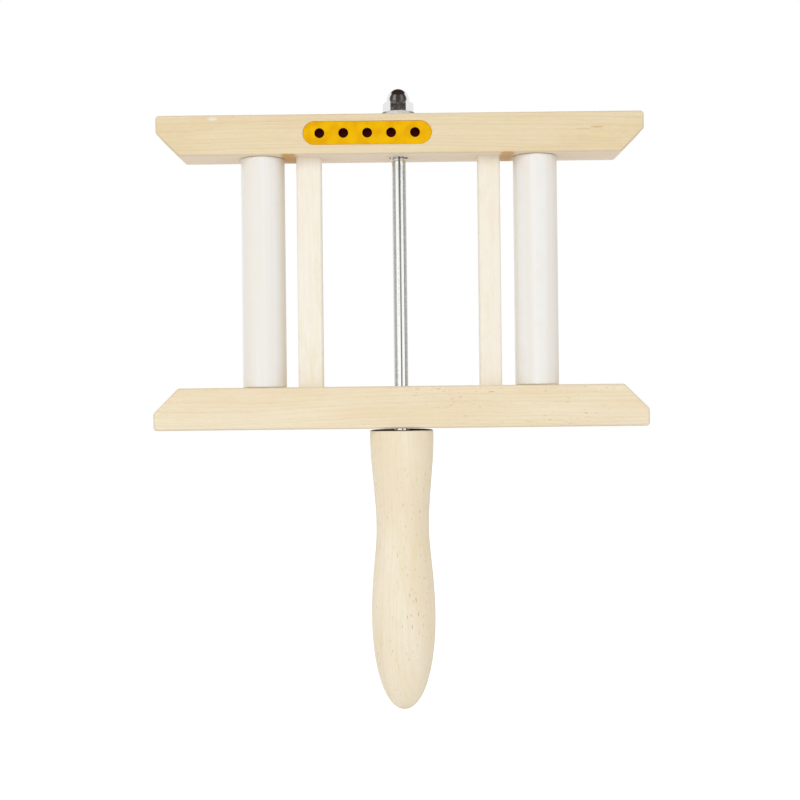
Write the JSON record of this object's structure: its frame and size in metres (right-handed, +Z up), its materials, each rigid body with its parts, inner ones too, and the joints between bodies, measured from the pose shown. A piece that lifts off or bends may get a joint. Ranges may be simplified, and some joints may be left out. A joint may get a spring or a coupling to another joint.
{
  "type": "hand winding reel",
  "caption": "Hand-held winder: a wooden frame with white plastic tubes turns on a steel rod above a turned wooden handle, for winding line or yarn.",
  "frame": {"origin": "on the rod's axis, half way along the handle, where the hand closes on it", "axes": "+X along the bars, +Y from the front face with the yellow plate to the back, +Z up along the rod"},
  "size_m": [0.2386, 0.0312, 0.3031],
  "materials": {
    "handle_wood": "sanded, unvarnished",
    "bar_wood": "sanded, unvarnished",
    "slat_wood": "sanded, unvarnished",
    "dowel_wood": "turned, unvarnished",
    "white_plastic": "satin",
    "yellow_plastic": "satin",
    "bright_steel": "bright drawn",
    "bush_steel": "plain",
    "screw_steel": "zinc plated",
    "chrome": "polished",
    "brass": "plain"
  },
  "bodies": {
    "handle": {"handle_grip": "handle_wood", "handle_insert": "brass", "axle_rod": "bright_steel", "top_washer": "chrome", "acorn_nut": "chrome"},
    "frame": {"upper_bar": "bar_wood", "lower_bar": "bar_wood", "upper_bush": "bush_steel", "lower_bush": "bush_steel", "slat_left": "slat_wood", "slat_right": "slat_wood", "dowel_left": "dowel_wood", "dowel_right": "dowel_wood", "yellow_inlay": "yellow_plastic", "screw_lower_slat_left": "screw_steel", "screw_lower_slat_right": "screw_steel", "screw_lower_dowel_left": "screw_steel", "screw_lower_dowel_right": "screw_steel", "screw_upper_slat_left": "screw_steel", "screw_upper_slat_right": "screw_steel", "screw_upper_dowel_left": "screw_steel", "screw_upper_dowel_right": "screw_steel"},
    "tube_left": {"tube_left": "white_plastic"},
    "tube_right": {"tube_right": "white_plastic"}
  },
  "joints": [
    {"name": "frame_spin", "type": "hinge", "parent": "handle", "child": "frame", "pos_m": [0, 0, 0.1454], "axis": [0, 0, 1], "continuous": true},
    {"name": "tube_left_spin", "type": "hinge", "parent": "frame", "child": "tube_left", "pos_m": [-0.0665, 0, 0.1454], "axis": [0, 0, 1], "continuous": true},
    {"name": "tube_right_spin", "type": "hinge", "parent": "frame", "child": "tube_right", "pos_m": [0.0665, 0, 0.1454], "axis": [0, 0, 1], "continuous": true}
  ]
}
